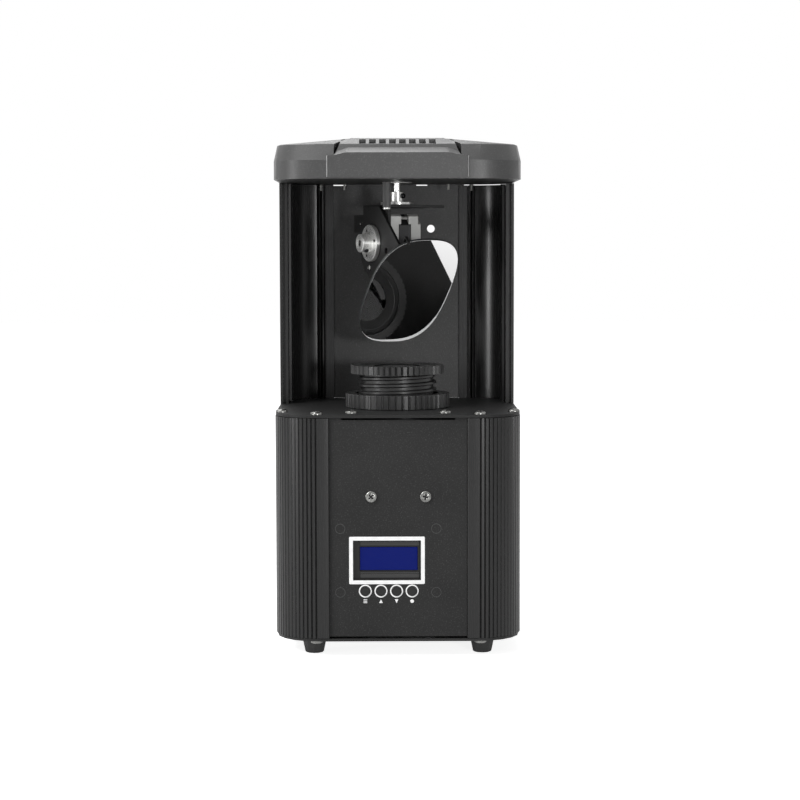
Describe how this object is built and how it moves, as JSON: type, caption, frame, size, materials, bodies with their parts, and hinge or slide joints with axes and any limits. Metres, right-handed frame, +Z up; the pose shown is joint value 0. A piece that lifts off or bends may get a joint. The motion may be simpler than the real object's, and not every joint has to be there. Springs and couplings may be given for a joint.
{
  "type": "led scanner light",
  "caption": "Stage scanner light: fluted box base with display and focus lens, open tower with a panned and tilted oval mirror, vented plastic cap.",
  "frame": {"origin": "on the floor under the middle of the body", "axes": "+Z up, the display and the mirror face -Y, +X to the viewer's right"},
  "size_m": [0.175, 0.17, 0.366],
  "materials": {
    "anodised_aluminium": "black anodised, fluted",
    "textured_powder_coat": "fine textured powder coat",
    "black_sheet": "satin black sheet",
    "cap_plastic": "fine moulded grain",
    "rubber": "moulded rubber",
    "lens_plastic": "moulded black plastic",
    "lens_glass": "coated glass",
    "led_face": "LED package",
    "bright_steel": "ground steel",
    "turned_aluminium": "turned aluminium",
    "cast_aluminium": "die cast aluminium",
    "lamination": "black motor laminations",
    "black_plastic": "moulded black plastic",
    "mirror_face": "front-surface mirror",
    "circuit_board": "glass fibre circuit board",
    "blue_screen": "blue liquid crystal display",
    "colour_glass": "dichroic filter disc"
  },
  "bodies": {
    "chassis": {"bottom_plate": "black_sheet", "front_left_extrusion": "anodised_aluminium", "front_right_extrusion": "anodised_aluminium", "rear_left_extrusion": "anodised_aluminium", "rear_right_extrusion": "anodised_aluminium", "front_panel": "textured_powder_coat", "left_side_panel": "textured_powder_coat", "right_side_panel": "textured_powder_coat", "rear_panel": "textured_powder_coat", "tower_back_panel": "textured_powder_coat", "deck_plate": "textured_powder_coat", "tower_top_plate": "black_sheet", "cap": "cap_plastic", "front_left_foot": "rubber", "front_right_foot": "rubber", "rear_left_foot": "rubber", "rear_right_foot": "rubber", "lens_collar": "lens_plastic", "display_module": "black_plastic", "display_screen": "blue_screen", "display_board": "circuit_board", "control_board": "circuit_board", "power_supply": "circuit_board", "power_inlet": "black_plastic", "data_input": "black_plastic", "data_output": "black_plastic", "fuse_holder": "black_plastic", "fan_frame": "black_plastic", "heat_sink": "cast_aluminium", "led_engine": "led_face", "condenser_holder": "black_plastic", "condenser_lens": "lens_glass", "optical_frame": "black_sheet", "color_wheel_motor": "cast_aluminium", "gobo_wheel_motor": "cast_aluminium", "pan_motor": "cast_aluminium", "pan_stop_post": "black_plastic"},
    "lens_carriage": {"front_lens": "lens_glass"},
    "focus_ring": {"focus_barrel": "lens_plastic"},
    "yoke": {"pan_shaft": "bright_steel", "pan_hub": "turned_aluminium", "yoke_bracket": "black_sheet", "tilt_motor_front_bell": "cast_aluminium", "tilt_motor_stator": "lamination", "tilt_motor_rear_bell": "cast_aluminium", "tilt_sensor": "black_plastic"},
    "mirror_head": {"tilt_shaft": "bright_steel", "tilt_hub": "turned_aluminium", "mirror_bracket": "black_sheet", "mirror": "mirror_face", "mirror_clip": "bright_steel"},
    "first_key": {"first_button": "black_plastic"},
    "second_key": {"second_button": "black_plastic"},
    "third_key": {"third_button": "black_plastic"},
    "fourth_key": {"fourth_button": "black_plastic"},
    "fan_wheel": {"fan_rotor": "black_plastic"},
    "color_disc": {"color_wheel": "colour_glass"},
    "gobo_disc": {"gobo_wheel": "bright_steel"}
  },
  "joints": [
    {"name": "pan", "type": "hinge", "parent": "chassis", "child": "yoke", "pos_m": [0, 0.015, 0.3], "axis": [0, 0, 1], "range_deg": [-104.4, 64]},
    {"name": "tilt", "type": "hinge", "parent": "yoke", "child": "mirror_head", "pos_m": [0, 0.015, 0.292], "axis": [0.9011, 0.4337, 0], "range_deg": [-30, 30]},
    {"name": "focus_travel", "type": "slide", "parent": "chassis", "child": "lens_carriage", "axis": [0, 0, 1], "range_m": [-0.00694, 0.00348]},
    {"name": "focus_turn", "type": "hinge", "parent": "lens_carriage", "child": "focus_ring", "pos_m": [0, -0.008, 0.2], "axis": [0, 0, 1], "range_deg": [-480, 240]},
    {"name": "first_press", "type": "slide", "parent": "chassis", "child": "first_key", "axis": [0, 1, 0], "range_m": [0, 0.0008], "stiffness_N_per_m": 400},
    {"name": "second_press", "type": "slide", "parent": "chassis", "child": "second_key", "axis": [0, 1, 0], "range_m": [0, 0.0008], "stiffness_N_per_m": 400},
    {"name": "third_press", "type": "slide", "parent": "chassis", "child": "third_key", "axis": [0, 1, 0], "range_m": [0, 0.0008], "stiffness_N_per_m": 400},
    {"name": "fourth_press", "type": "slide", "parent": "chassis", "child": "fourth_key", "axis": [0, 1, 0], "range_m": [0, 0.0008], "stiffness_N_per_m": 400},
    {"name": "fan_spin", "type": "hinge", "parent": "chassis", "child": "fan_wheel", "pos_m": [0, 0.0743, 0.045], "axis": [0, 1, 0], "continuous": true},
    {"name": "color_wheel_spin", "type": "hinge", "parent": "chassis", "child": "color_disc", "pos_m": [0, 0.027, 0.0848], "axis": [0, 0, 1], "continuous": true},
    {"name": "gobo_wheel_spin", "type": "hinge", "parent": "chassis", "child": "gobo_disc", "pos_m": [0, 0.027, 0.0918], "axis": [0, 0, 1], "continuous": true}
  ],
  "couplings": [
    {"joint": "focus_travel", "follows": "focus_turn", "m_per_rad": 0.00082761}
  ]
}
